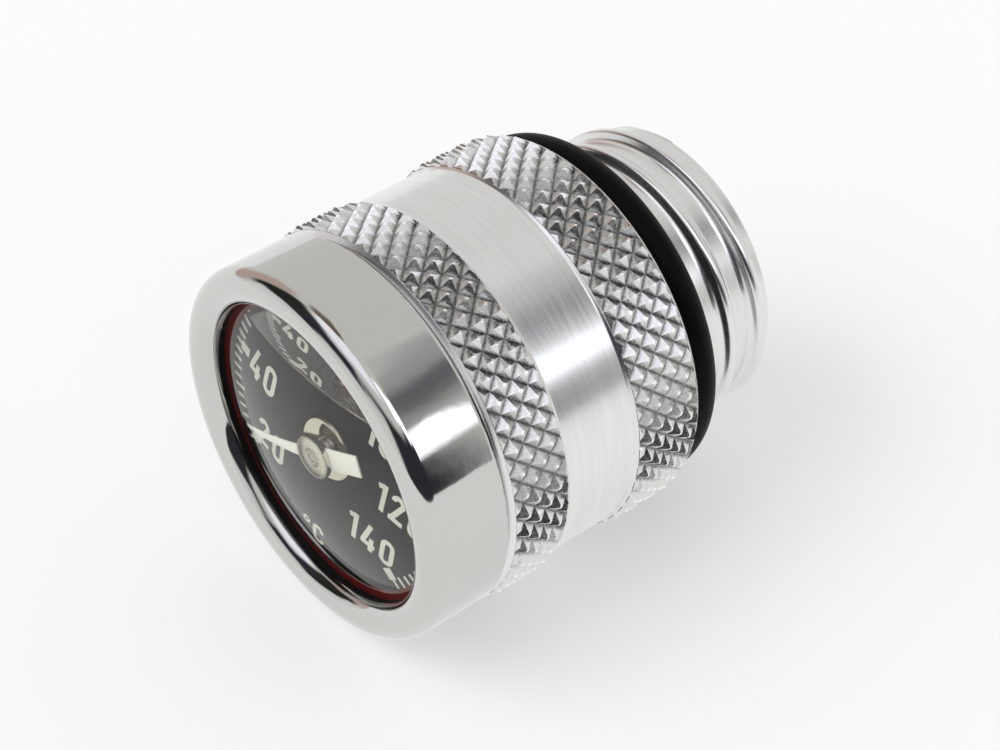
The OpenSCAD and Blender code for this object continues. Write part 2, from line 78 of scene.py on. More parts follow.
def linear(code: str) -> Colour:
    """Turns an sRGB hex colour into Blender's linear values.

    Args:
        code: Six hex digits, such as "d8d4cc".

    Returns:
        Red, green and blue in linear light, and 1 for full cover.
    """
    parts = [int(code[i : i + 2], 16) / 255 for i in (0, 2, 4)]
    red, green, blue = (p / 12.92 if p <= 0.04045 else ((p + 0.055) / 1.055) ** 2.4 for p in parts)
    return red, green, blue, 1.0


class Shader:
    """A material's or world's node tree while it is being laid out."""

    def __init__(self, tree: bpy.types.NodeTree) -> None:
        """Empties the tree.

        Args:
            tree: The node tree of a material or a world.
        """
        self.tree = tree
        tree.nodes.clear()

    def add(self, kind: str, inputs: dict | None = None, **settings: object) -> bpy.types.Node:
        """Adds one node.

        Args:
            kind: The node's type without its "ShaderNode" prefix.
            inputs: For each input, by name or number, a value or the output socket that feeds it.
            settings: Properties of the node itself.

        Returns:
            The new node.
        """
        node = self.tree.nodes.new("ShaderNode" + kind)
        for name, value in settings.items():
            setattr(node, name, value)
        for name, value in (inputs or {}).items():
            if isinstance(value, Socket):
                self.tree.links.new(value, node.inputs[name])
            else:
                node.inputs[name].default_value = value
        return node


@dataclass(frozen=True)
class Finish:
    """A finish that every concrete one builds on."""

    name: str

    def dress(self, shader: Shader) -> Socket:
        """Lays out the nodes and returns the surface's shader socket."""
        raise NotImplementedError

    def material(self) -> bpy.types.Material:
        """Makes the material, or returns it where it is already there.

        Returns:
            The Blender material of this finish.
        """
        made = bpy.data.materials.get(self.name)
        if made is None:
            made = bpy.data.materials.new(self.name)
            made.use_nodes = True
            shader = Shader(made.node_tree)
            shader.add("OutputMaterial", {"Surface": self.dress(shader)})
        return made

    def millimetres(self, shader: Shader) -> Socket:
        """Gives Object coordinates in millimetres."""
        place = shader.add("TexCoord").outputs["Object"]
        return shader.add("Mapping", {"Vector": place, "Scale": (1 / MM,) * 3}).outputs[0]

    def off_axis(self, shader: Shader, place: Socket) -> Socket:
        """Gives a place's distance from the main axis."""
        flat = shader.add("VectorMath", {0: place, 1: (1.0, 0.0, 1.0)}, operation="MULTIPLY").outputs[0]
        return shader.add("VectorMath", {0: flat}, operation="LENGTH").outputs["Value"]


@dataclass(frozen=True)
class TurnedMetal(Finish):
    """Bright metal with fine circular lines from the lathe, which stretch its highlights along the axis.

    The lines are looked up by a place that changes only across them, on cylinders and on flat faces alike.
    """

    colour: str = "e9e9e8"
    roughness: float = 0.25
    line_width: float = 0.07
    line_depth: float = 0.0008
    stretch: float = 0.6
    streaks: float = 0.06
    marks_per_mm: float = 0.12
    # Lines in one band of changed tone, and the darkest tone
    band_lines: float = 6.0
    band_tone: float = 0.93
    # How much closer the lines lie on flat faces than on cylinders
    face_share: float = 1.3

    def dress(self, shader: Shader) -> Socket:
        """Lays out the nodes.

        Args:
            shader: The material's node tree.

        Returns:
            The surface's shader socket.
        """
        place = self.millimetres(shader)
        station = shader.add("SeparateXYZ", {0: place}).outputs["Y"]
        across = shader.add("Math", {0: self.off_axis(shader, place), 1: self.face_share, 2: station},
                            operation="MULTIPLY_ADD").outputs[0]
        around = shader.add("Mapping", {
            "Vector": place, "Scale": (self.marks_per_mm, 0.0, self.marks_per_mm)}).outputs[0]
        patterns = []
        band_width = self.line_width * self.band_lines
        for width, detail, mix in ((self.line_width, 3.0, 0.6), (band_width, 2.0, 0.5)):
            step = shader.add("Math", {0: across, 1: width}, operation="DIVIDE").outputs[0]
            patterns.append(shader.add("TexNoise", {
                "Vector": around, "W": step, "Scale": 1.0, "Detail": detail, "Roughness": mix},
                noise_dimensions="4D").outputs[0])
        lines, bands = patterns
        rough = shader.add("MapRange", {"Value": lines, **NOISE, "To Min": self.roughness - self.streaks,
                                        "To Max": self.roughness + self.streaks}).outputs[0]
        tone = shader.add("MapRange", {"Value": bands, **NOISE, "To Min": self.band_tone,
                                       "To Max": 1.0}).outputs[0]
        colour = shader.add("Mix", {"Factor": 1.0, "A": linear(self.colour), "B": tone},
                            data_type="RGBA", blend_type="MULTIPLY").outputs["Result"]
        bump = shader.add("Bump", {"Height": lines, "Strength": 1.0, "Distance": self.line_depth * MM})
        tangent = shader.add("Tangent", direction_type="RADIAL", axis="Y")
        return shader.add("BsdfPrincipled", {
            "Base Color": colour, "Metallic": 1.0, "Roughness": rough, "Normal": bump.outputs[0],
            "Tangent": tangent.outputs[0], "Anisotropic": self.stretch,
            "Anisotropic Rotation": 0.25}).outputs[0]


@dataclass(frozen=True)
class CutMetal(Finish):
    """Bare metal pressed by a tool: clean facets with small burrs and faint tears."""

    colour: str = "e6e6e4"
    roughness: float = 0.2
    smoother: float = 0.07
    rougher: float = 0.13
    tear: float = 0.004
    tears_per_mm: float = 5.0
    tear_mix: float = 0.65

    def tint(self, shader: Shader, place: Socket, tears: Socket) -> Socket | Colour:
        """Gives the metal's colour, here the same all over."""
        return linear(self.colour)

    def dress(self, shader: Shader) -> Socket:
        """Lays out the nodes.

        Args:
            shader: The material's node tree.

        Returns:
            The surface's shader socket.
        """
        place = self.millimetres(shader)
        tears = shader.add("TexNoise", {"Vector": place, "Scale": self.tears_per_mm, "Detail": 4.0,
                                        "Roughness": self.tear_mix}).outputs[0]
        rough = shader.add("MapRange", {"Value": tears, **NOISE, "To Min": self.roughness - self.smoother,
                                        "To Max": self.roughness + self.rougher}).outputs[0]
        bump = shader.add("Bump", {"Height": tears, "Strength": 1.0, "Distance": self.tear * MM}).outputs[0]
        return shader.add("BsdfPrincipled", {
            "Base Color": self.tint(shader, place, tears), "Metallic": 1.0, "Roughness": rough,
            "Normal": bump}).outputs[0]


@dataclass(frozen=True)
class KnurledMetal(CutMetal):
    """Metal pressed by a knurling wheel: mottled facets, painted shade in each groove, painted highlight on
    each tip.
    """

    colour: str = "dededc"
    # Painted shade at the groove floor, and a painted highlight at the tip
    groove_shade: str = "9a9a9a"
    tip_highlight: str = "ffffff"
    smoother: float = 0.08
    rougher: float = 0.14
    tear: float = 0.01
    tears_per_mm: float = 4.0
    tear_mix: float = 0.7
    root_r: float = 14.85
    tip_r: float = 15.5
    # Where painted groove shade ends, and painted tip highlight begins and is full, as shares of the height
    borders: tuple[float, float, float] = (0.3, 0.8, 0.97)
    border_shift: float = 0.12

    def tint(self, shader: Shader, place: Socket, tears: Socket) -> Socket:
        """Colours the metal by its height above the grooves.

        Args:
            shader: The material's node tree.
            place: The place in millimetres.
            tears: The noise that shifts the borders between the colours.

        Returns:
            The colour's socket.
        """
        # Colours the metal by height: painted shade at the groove floor, painted highlight at the tip.
        height = shader.add("MapRange", {"Value": self.off_axis(shader, place), "From Min": self.root_r,
                                         "From Max": self.tip_r}).outputs[0]
        shift = shader.add("MapRange", {"Value": tears, **NOISE, "To Min": -self.border_shift,
                                        "To Max": self.border_shift}).outputs[0]
        shifted = shader.add("Math", {0: height, 1: shift}, operation="ADD").outputs[0]
        ramp = shader.add("ValToRGB", {0: shifted})
        elements = ramp.color_ramp.elements
        for border in self.borders[:-1]:
            elements.new(border)
        # Painted shade low down, the metal's own colour on the flanks, painted highlight at the tip
        codes = (self.groove_shade, self.colour, self.colour, self.tip_highlight)
        for element, border, code in zip(elements, (0.0, *self.borders), codes):
            element.position = border
            element.color = linear(code)
        return ramp.outputs[0]


@dataclass(frozen=True)
class PolishedMetal(Finish):
    """Plated or polished metal: a mirror with a faint waviness and fine specks."""

    colour: str = "c9c9c8"
    roughness: float = 0.06
    wave: float = 0.004
    waves_per_mm: float = 1.1
    specks: float = 0.05
    specks_per_mm: float = 14.0

    def dress(self, shader: Shader) -> Socket:
        """Lays out the nodes.

        Args:
            shader: The material's node tree.

        Returns:
            The surface's shader socket.
        """
        place = self.millimetres(shader)
        waves = shader.add("TexNoise", {"Vector": place, "Scale": self.waves_per_mm, "Detail": 2.0})
        dust = shader.add("TexNoise", {"Vector": place, "Scale": self.specks_per_mm, "Detail": 2.0,
                                       "Roughness": 0.7})
        rough = shader.add("MapRange", {"Value": dust.outputs[0], "From Min": 0.35, "From Max": 0.75,
                                        "To Min": self.roughness, "To Max": self.roughness + self.specks})
        bump = shader.add("Bump", {"Height": waves.outputs[0], "Strength": 1.0, "Distance": self.wave * MM})
        return shader.add("BsdfPrincipled", {
            "Base Color": linear(self.colour), "Metallic": 1.0, "Roughness": rough.outputs[0],
            "Normal": bump.outputs[0]}).outputs[0]


@dataclass(frozen=True)
class Coating(Finish):
    """Rubber, lacquer, plastic, paint or ink: a coloured, more or less glossy coat with a fine grain."""

    colour: str = "101011"
    second: str = "161617"
    roughness: float = 0.4
    gloss: float = 0.5
    grain_size: float = 0.15
    grain_depth: float = 0.003
    grain_spread: float = 0.05
    clouds_per_mm: float = 0.35

    def dress(self, shader: Shader) -> Socket:
        """Lays out the nodes.

        Args:
            shader: The material's node tree.

        Returns:
            The surface's shader socket.
        """
        place = self.millimetres(shader)
        fine = shader.add("TexNoise", {"Vector": place, "Scale": 1 / self.grain_size,
                                       "Detail": 3.0}).outputs[0]
        clouds = shader.add("TexNoise", {"Vector": place, "Scale": self.clouds_per_mm,
                                         "Detail": 2.0}).outputs[0]
        colour = shader.add("Mix", {"Factor": clouds, "A": linear(self.colour), "B": linear(self.second)},
                            data_type="RGBA").outputs["Result"]
        rough = shader.add("MapRange", {"Value": fine, **NOISE, "To Min": self.roughness - self.grain_spread,
                                        "To Max": self.roughness + self.grain_spread}).outputs[0]
        bump = shader.add("Bump", {"Height": fine, "Strength": 1.0, "Distance": self.grain_depth * MM})
        return shader.add("BsdfPrincipled", {
            "Base Color": colour, "Roughness": rough, "Specular IOR Level": self.gloss,
            "Normal": bump.outputs[0]}).outputs[0]


@dataclass(frozen=True)
class ClearBody(Finish):
    """Clear plastic or oil.

    Rays from lamps and matt surfaces go straight through, so that the dial is lit.
    """

    colour: str = "fbfbfa"
    refraction: float = 1.47
    haze: float = 0.004
    smears_per_mm: float = 0.5

    def dress(self, shader: Shader) -> Socket:
        """Lays out the nodes.

        Args:
            shader: The material's node tree.

        Returns:
            The surface's shader socket.
        """
        ray = shader.add("LightPath").outputs
        passed = shader.add("Math", {0: ray["Is Shadow Ray"], 1: ray["Is Diffuse Ray"]},
                            operation="MAXIMUM").outputs[0]
        smear = shader.add("TexNoise", {"Vector": self.millimetres(shader), "Scale": self.smears_per_mm,
                                        "Detail": 3.0}).outputs[0]
        rough = shader.add("MapRange", {"Value": smear, "From Min": 0.4, "From Max": 0.7,
                                        "To Min": 0.0, "To Max": self.haze}).outputs[0]
        clear = shader.add("BsdfPrincipled", {
            "Base Color": linear(self.colour), "Roughness": rough, "IOR": self.refraction,
            "Transmission Weight": 1.0})
        through = shader.add("BsdfTransparent", {"Color": linear(self.colour)})
        return shader.add("MixShader", {0: passed, 1: clear.outputs[0], 2: through.outputs[0]}).outputs[0]


@dataclass(frozen=True)
class WettedFace(Finish):
    """A clear face that clear oil wets: both bend light alike, so the face itself can't be seen."""

    colour: str = "fdfdfb"

    def dress(self, shader: Shader) -> Socket:
        """Lays out the nodes and returns the surface's shader socket."""
        return shader.add("BsdfTransparent", {"Color": linear(self.colour)}).outputs[0]


# Turned and polished aluminium: light grey, with fine lathe lines that smear highlights along the axis
TURNED_ALUMINIUM = TurnedMetal("turned_polished_aluminium", colour="e9e9e8", roughness=0.24,
                               line_depth=0.0003, stretch=0.35, streaks=0.04)
# Knurled aluminium: mottled grey facets, with painted shade in each groove and a painted highlight on each
# tip
KNURLED_ALUMINIUM = KnurledMetal("knurled_aluminium")
# Nitrile rubber, moulded: deep black with a soft sheen
NITRILE_RUBBER = Coating("moulded_nitrile_rubber", colour="020202", second="040404", roughness=0.5,
                         gloss=0.07)
# Rubber sheet, cut: black and matt
GASKET_RUBBER = Coating("cut_rubber_sheet", colour="050505", second="080808", roughness=0.6, gloss=0.25)
# Chromed brass: a cool mirror, a little grey and faintly wavy from polishing
CHROMED_BRASS = PolishedMetal("chromed_brass", colour="cbcbc8", roughness=0.05)
# Cast acrylic lens and the clear oil behind it, which bend light nearly alike
ACRYLIC = ClearBody("clear_acrylic")
CLEAR_OIL = ClearBody("clear_mineral_oil", haze=0.0)
WETTED_ACRYLIC = WettedFace("oil_wetted_acrylic")
# Vulcanised fibre, pressed: dark red with a dull sheen
RED_FIBRE = Coating("pressed_red_fibre", colour="6c0c10", second="540a0d", roughness=0.45, gloss=0.3)
# Black acetal, turned: even and satin
BLACK_ACETAL = Coating("black_acetal", colour="050505", second="080808", roughness=0.45, gloss=0.3)
# Satin black lacquer, sprayed on the dial: nearly black with a very fine grain
DIAL_LACQUER = Coating("satin_black_dial_lacquer", colour="141416", second="1b1b1d", roughness=0.45,
                       gloss=0.35, grain_size=0.12, grain_depth=0.002)
# White ink, screen-printed: warm white and matt
DIAL_INK = Coating("white_screen_ink", colour="e9e9e6", second="dededb", roughness=0.6, gloss=0.2)
# White paint, sprayed on the pointer: clean white and satin
POINTER_PAINT = Coating("white_sprayed_paint", colour="f2f2ee", second="e6e6e1", roughness=0.5, gloss=0.3)
# Nickel silver, turned: warm grey with rings from the tool
TURNED_NICKEL = TurnedMetal("turned_nickel_silver", colour="dedacf", roughness=0.28, line_width=0.1,
                            line_depth=0.003, stretch=0.4)
# Nickel silver, polished: a warm mirror
POLISHED_NICKEL = PolishedMetal("polished_nickel_silver", colour="d6d2c4", roughness=0.07)
# Lacquered brass of the case: black and satin
BLACK_LACQUER = Coating("satin_black_brass_lacquer", colour="0a0a0a", second="101010", roughness=0.35)
# White acetal, stamped: creamy white and satin
WHITE_ACETAL = Coating("white_acetal", colour="dedbd2", second="d3d0c6", roughness=0.5, gloss=0.4)
# Spring steel, phosphated: dark grey and slightly oily
SPRING_STEEL = CutMetal("phosphated_spring_steel", colour="55565a", roughness=0.38, tear=0.002)
# Free-cutting brass, turned: yellow with fine lathe lines
TURNED_BRASS = TurnedMetal("turned_brass", colour="d9b877", roughness=0.22, line_width=0.09)
# Stainless steel, drawn: grey and satin
STAINLESS = TurnedMetal("satin_stainless_steel", colour="c4c3c0", roughness=0.28, line_width=0.12,
                        stretch=0.3)
# Bimetal, rolled: brownish steel
BIMETAL = CutMetal("rolled_bimetal", colour="9a8b7d", roughness=0.3, tear=0.002)


def deselect() -> None:
    """Leaves nothing selected, in object mode."""
    if bpy.context.object is not None and bpy.context.object.mode != "OBJECT":
        bpy.ops.object.mode_set(mode="OBJECT")
    bpy.ops.object.select_all(action="DESELECT")


@contextmanager
def shaping(piece: bpy.types.Object) -> Iterator[bmesh.types.BMesh]:
    """Opens a piece in edit mode with nothing selected.

    Args:
        piece: The mesh object to shape.

    Yields:
        The edit mesh, for selecting by place or normal.
    """
    deselect()
    piece.select_set(True)
    bpy.context.view_layer.objects.active = piece
    bpy.ops.object.mode_set(mode="EDIT")
    bpy.ops.mesh.select_all(action="DESELECT")
    yield bmesh.from_edit_mesh(piece.data)
    bpy.ops.object.mode_set(mode="OBJECT")


def named(name: str) -> bpy.types.Object:
    """Names the object that an operator has just added, and its data.

    Args:
        name: The new name.

    Returns:
        The object.
    """
    piece = bpy.context.active_object
    piece.name = piece.data.name = name
    return piece


def close_up(piece: bpy.types.Object, smooth_below: float | None = 32.0) -> bpy.types.Object:
    """Merges doubled points, turns the faces outwards and shades them.

    Args:
        piece: The mesh object to finish.
        smooth_below: Edges sharper than this many degrees stay sharp, and None leaves all flat.

    Returns:
        The same piece.
    """
    with shaping(piece):
        bpy.ops.mesh.select_all(action="SELECT")
        bpy.ops.mesh.remove_doubles(threshold=MERGE_DISTANCE)
        bpy.ops.mesh.normals_make_consistent(inside=False)
    if smooth_below is not None:
        piece.select_set(True)
        bpy.ops.object.shade_smooth_by_angle(angle=math.radians(smooth_below))
    return piece


def modify(piece: bpy.types.Object, kind: str, **settings: object) -> None:
    """Adds a modifier with its settings and applies it.

    Args:
        piece: The mesh object.
        kind: Blender's name of the modifier's type.
        settings: The modifier's properties.
    """
    deselect()
    piece.select_set(True)
    bpy.context.view_layer.objects.active = piece
    bpy.ops.object.modifier_add(type=kind)
    modifier = piece.modifiers[-1]
    for name, value in settings.items():
        setattr(modifier, name, value)
    bpy.ops.object.modifier_apply(modifier=modifier.name)


def break_edges(piece: bpy.types.Object, width: float = EDGE_BREAK, segments: int = 2,
                sharper_than: float = 30.0) -> None:
    """Rounds a piece's sharp edges with a small bevel.

    Args:
        piece: The mesh object.
        width: The bevel's width in millimetres.
        segments: Steps across the bevel.
        sharper_than: Only edges sharper than this many degrees are rounded.
    """
    modify(piece, "BEVEL", width=width * MM, segments=segments, limit_method="ANGLE",
           angle_limit=math.radians(sharper_than), harden_normals=False)


def arc(centre: Point, radius: float, start: float, end: float, steps: int,
        along: float | None = None) -> list[Point]:
    """Points along an arc of a section.

    Args:
        centre: The arc's centre as radius and station, in millimetres.
        radius: The arc's own radius.
        start: First angle in degrees, from the outward direction towards larger stations.
        end: Last angle.
        steps: How many steps the arc has.
        along: The arc's radius along the axis, where it is oval.

    Returns:
        The points from start to end.
    """
    angles = [math.radians(start + (end - start) * i / steps) for i in range(steps + 1)]
    along = radius if along is None else along
    return [(centre[0] + radius * math.cos(a), centre[1] + along * math.sin(a)) for a in angles]


def lathe(name: str, section: Sequence[Point], steps: int = ROUND_STEPS) -> bpy.types.Object:
    """Turns a closed section round the main axis.

    Args:
        name: The piece's name.
        section: Corners as radius and station, in millimetres; a side that lies on the axis is left out.
        steps: Steps round the axis.

    Returns:
        The turned piece, closed and shaded.
    """
    deselect()
    bpy.ops.mesh.primitive_circle_add(vertices=len(section), radius=MM)
    piece = named(name)
    for vertex, (radius, station) in zip(piece.data.vertices, section):
        vertex.co = (radius * MM, station * MM, 0.0)
    with shaping(piece) as mesh:
        for edge in mesh.edges:
            edge.select_set(all(abs(v.co.x) < MERGE_DISTANCE for v in edge.verts))
        bpy.ops.mesh.delete(type="EDGE")
        bpy.ops.mesh.select_all(action="SELECT")
        bpy.ops.mesh.spin(steps=steps, angle=2 * math.pi, center=(0, 0, 0), axis=(0, 1, 0))
    return close_up(piece)


def paint(piece: bpy.types.Object, finish: Finish) -> None:
    """Gives a whole piece one finish, in the slots that it has.

    Args:
        piece: The mesh object.
        finish: Its finish.
    """
    slots = piece.data.materials
    if not len(slots):
        slots.append(finish.material())
    for i in range(len(slots)):
        slots[i] = finish.material()


def fit(piece: bpy.types.Object, finish: Finish, body: Body, slot: str, *nodes: str) -> None:
    """Dresses a new piece, sets it on its body and reports it.

    Args:
        piece: The finished mesh object.
        finish: Its finish.
        body: The body that it rides on.
        slot: The record's material slot; not used.
        nodes: The CAD nodes that it stands for.
    """
    paint(piece, finish)
    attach(piece, body.value)
    if nodes:
        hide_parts(*nodes)
    LOG.info("%s: %d faces on %s", piece.name, len(piece.data.polygons), body.value)


def dress_nodes(**finishes: Finish) -> None:
    """Gives CAD nodes that stay their finishes.

    Args:
        finishes: The finish of each node, by the node's name.
    """
    for node, finish in finishes.items():
        paint(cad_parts[node], finish)
        LOG.info("%s: CAD solid in %s", node, finish.name)


@dataclass
class KnurlBand:
    """One knurled band, pressed as rows of blunt square pyramids between two chamfers."""

    name: str
    start: float
    length: float
    rows: int
    start_rim: Point
    end_rim: Point
    tip_r: float
    depth: float
    count: int = 52
    tip_flat: float = 0.13

    def build(self) -> bpy.types.Object:
        """Models one pyramid, repeats it over the unrolled band, cuts the ends and rolls the band up.

        Returns:
            The band as a piece.
        """
        half_u = math.pi * self.tip_r / self.count
        half_v = self.length / self.rows
        deselect()
        bpy.ops.mesh.primitive_cone_add(vertices=4, radius1=MM, radius2=self.tip_flat * MM,
                                        depth=self.depth * MM, location=(0, 0, self.depth * MM / 2),
                                        end_fill_type="NGON")
        band = named(self.name)
        bpy.ops.object.transform_apply(location=True, rotation=False, scale=False)
        with shaping(band) as mesh:
            for face in mesh.faces:
                face.select_set(face.normal.z < 0)
            bpy.ops.mesh.delete(type="FACE")
            bpy.ops.mesh.select_all(action="SELECT")
            bpy.ops.transform.resize(value=(half_u, half_v, 1.0))
        around, along = (2 * half_u * MM, 0, 0), (half_u * MM, half_v * MM, 0)
        for count, step in ((self.count, around), (self.rows + 1, along)):
            modify(band, "ARRAY", count=count, use_relative_offset=False, use_constant_offset=True,
                   constant_offset_displace=step, use_merge_vertices=True, merge_threshold=MERGE_DISTANCE)
        for station, inward, rim in ((0.0, 1.0, self.start_rim), (self.length, -1.0, self.end_rim)):
            self.chamfer(band, station, inward, rim)
        with shaping(band):
            for station, side in ((0.0, -1.0), (self.length, 1.0)):
                bpy.ops.mesh.select_all(action="SELECT")
                bpy.ops.mesh.bisect(plane_co=(0, station * MM, 0), plane_no=(0, side, 0), clear_outer=True)
        self.roll_up(band)
        return close_up(band, smooth_below=12.0)

    def chamfer(self, band: bpy.types.Object, station: float, inward: float, rim: Point) -> None:
        """Cuts the pyramids down to a chamfer at one end of the unrolled band.

        Args:
            band: The unrolled band.
            station: Where the band ends, from its start.
            inward: Which way the band lies from there, 1 or -1.
            rim: The chamfer's height above the groove at the end, and its rise per millimetre.
        """
        height, slope = rim
        normal = Vector((0.0, -inward * slope, 1.0)).normalized()
        with shaping(band):
            bpy.ops.mesh.select_all(action="SELECT")
            bpy.ops.mesh.bisect(plane_co=(0, station * MM, height * MM), plane_no=normal)
        for vertex in band.data.vertices:
            limit = (height + slope * inward * (vertex.co.y / MM - station)) * MM
            vertex.co.z = min(vertex.co.z, max(limit, 0.0))

    def roll_up(self, band: bpy.types.Object) -> None:
        """Rolls the flat band round the main axis.

        Args:
            band: The unrolled band.
        """
        places = np.empty(len(band.data.vertices) * 3)
        band.data.vertices.foreach_get("co", places)
        along, station, height = places.reshape(-1, 3).T
        angle = along / (self.tip_r * MM)
        radius = (self.tip_r - self.depth) * MM + height
        rolled = np.column_stack((radius * np.cos(angle), station + self.start * MM, -radius * np.sin(angle)))
        band.data.vertices.foreach_set("co", rolled.ravel())
        band.data.update()


@dataclass
class FillerScrew:
    """The knurled, threaded screw with its sealing ring."""

    tip_r: float = 15.5
    root_r: float = 14.85
    rim_r: float = 15.2
    core_r: float = 14.6
    front_face_r: float = 14.75
    front_s: float = -18.25
    front_band: Point = (-17.85, -12.95)
    front_rows: int = 5
    rear_band: Point = (-6.05, -0.25)
    rear_rows: int = 6
    rear_slope: float = 0.9
    waist: Point = (-12.7, -6.3)
    waist_r: float = 15.02
    waist_rim_r: float = 15.18
    bore_r: float = 13.2
    web: Point = (-14.55, -11.55)
    web_bore_r: float = 5.0
    seat_r: float = 14.67
    seat_chamfer: float = 0.35
    recess: float = 0.15
    seal_d: float = 3.3
    seal_flash: float = 0.015
    neck_r: float = 11.3
    neck_bore_r: float = 8.6
    neck_end: float = 11.1
    end_round: float = 0.2
    bore_chamfer: float = 0.3
    thread_start: float = 4.9
    first_crest: float = 6.8
    pitch: float = 3.0
    crest_r: float = 12.0
    # The ridge's side from foot to crest: distance from its middle in millimetres, share of its height
    ridge: tuple[Point, ...] = ((0.98, 0.0), (0.8, 0.03), (0.68, 0.1), (0.58, 0.22), (0.5, 0.4), (0.42, 0.62),
                                (0.35, 0.8), (0.27, 0.92), (0.16, 0.985), (0.0, 1.0))
    # How far the ridge's foot, and its edge at the neck's end, lie below the neck's surface
    ridge_depth: float = 0.5
    ridge_sink: float = 0.03

    def build(self) -> None:
        """Makes the turned core, both knurled bands, the thread and the sealing ring."""
        self.core()
        self.bands()
        self.thread_ridge()
        self.seal()
        dress_nodes(thrust_washer=WHITE_ACETAL)

    def core(self) -> None:
        """Turns the core with its waist, bore, flange and neck."""
        front_start, front_end = self.front_band
        rear_start, rear_end = self.rear_band
        end = self.neck_end
        piece = lathe("screw_body", [
            (self.bore_r, self.front_s), (self.front_face_r, self.front_s), (self.rim_r, front_start),
            (self.core_r, front_start), (self.core_r, front_end), (self.waist_rim_r, front_end),
            *((self.waist_r, station) for station in self.waist),
            (self.waist_rim_r, rear_start), (self.core_r, rear_start), (self.core_r, rear_end),
            (self.rim_r, rear_end), (self.seat_r + self.seat_chamfer, 0.0), (self.seat_r, 0.0),
            (self.seat_r, -self.recess), (self.neck_r, -self.recess),
            *arc((self.neck_r - self.end_round, end - self.end_round), self.end_round, 0, 90, 6),
            (self.neck_bore_r + self.bore_chamfer, end), (self.neck_bore_r, end - self.bore_chamfer),
            (self.neck_bore_r, self.web[1]), (self.web_bore_r, self.web[1]), (self.web_bore_r, self.web[0]),
            (self.bore_r, self.web[0])])
        break_edges(piece)
        fit(close_up(piece), TURNED_ALUMINIUM, Body.SCREW, "turned_aluminium", "knurled_body")

    def bands(self) -> None:
        """Presses both knurled bands."""
        front_slope = (self.rim_r - self.front_face_r) / (self.front_band[0] - self.front_s)
        waist_slope = (self.waist_rim_r - self.waist_r) / (self.waist[0] - self.front_band[1])
        rim = self.rim_r - self.root_r
        for name, (start, end), rows, slopes in (
            ("knurl_front", self.front_band, self.front_rows, (front_slope, waist_slope)),
            ("knurl_rear", self.rear_band, self.rear_rows, (waist_slope, self.rear_slope)),
        ):
            band = KnurlBand(name, start, end - start, rows, (rim, slopes[0]), (rim, slopes[1]), self.tip_r,
                             self.tip_r - self.root_r)
            fit(band.build(), KNURLED_ALUMINIUM, Body.SCREW, "turned_aluminium")

    def thread_ridge(self) -> None:
        """Sweeps the thread's rounded ridge along its helix, and sinks its ends into the neck."""
        height = self.crest_r - self.neck_r
        foot_r, half = self.neck_r - self.ridge_depth, self.ridge[0][0]
        flank = [(self.neck_r + height * share, -distance) for distance, share in self.ridge]
        section = [(foot_r, -half), *flank, *((radius, -station) for radius, station in reversed(flank[:-1])),
                   (foot_r, half)]
        # The sweep starts two turns early and ends a turn late, so that both its ends are sunk
        centre = self.first_crest - 2 * self.pitch
        turns = math.ceil((self.neck_end - centre) / self.pitch) + 1
        deselect()
        bpy.ops.mesh.primitive_circle_add(vertices=len(section), radius=MM)
        ridge = named("thread_ridge")
        for vertex, (radius, station) in zip(ridge.data.vertices, section):
            vertex.co = (radius * MM, (centre + station) * MM, 0.0)
        modify(ridge, "SCREW", axis="Y", angle=2 * math.pi, screw_offset=self.pitch * MM, iterations=turns,
               steps=ROUND_STEPS, render_steps=ROUND_STEPS, use_merge_vertices=False)
        last = self.neck_end - self.ridge_sink
        for vertex in ridge.data.vertices:
            radius, station = math.hypot(vertex.co.x, vertex.co.z) / MM, vertex.co.y / MM
            held = min(max(station, self.thread_start), last)
            limit = foot_r if held != station else self.neck_r - self.ridge_sink + last - station
            share = min(1.0, limit / radius)
            vertex.co = (vertex.co.x * share, held * MM, vertex.co.z * share)
        close_up(ridge, smooth_below=25.0)
        with shaping(ridge):
            bpy.ops.mesh.select_all(action="SELECT")
            bpy.ops.mesh.dissolve_degenerate(threshold=MERGE_DISTANCE)
            bpy.ops.mesh.delete_loose(use_verts=True, use_edges=True, use_faces=False)
        fit(ridge, TURNED_ALUMINIUM, Body.SCREW, "turned_aluminium")

    def seal(self) -> None:
        """Moulds the sealing ring, with the faint flash that a mould leaves on its outer and inner edge."""
        half = self.seal_d / 2
        steps = 64
        ring = arc((self.neck_r + half, half - self.recess), half, 0, 360, steps)[:-1]
        for i in (0, steps // 2):
            ring[i] = (ring[i][0] + self.seal_flash, ring[i][1])
        fit(lathe("seal_ring", ring), NITRILE_RUBBER, Body.SCREW, "black_rubber", "flange_seal_ring")


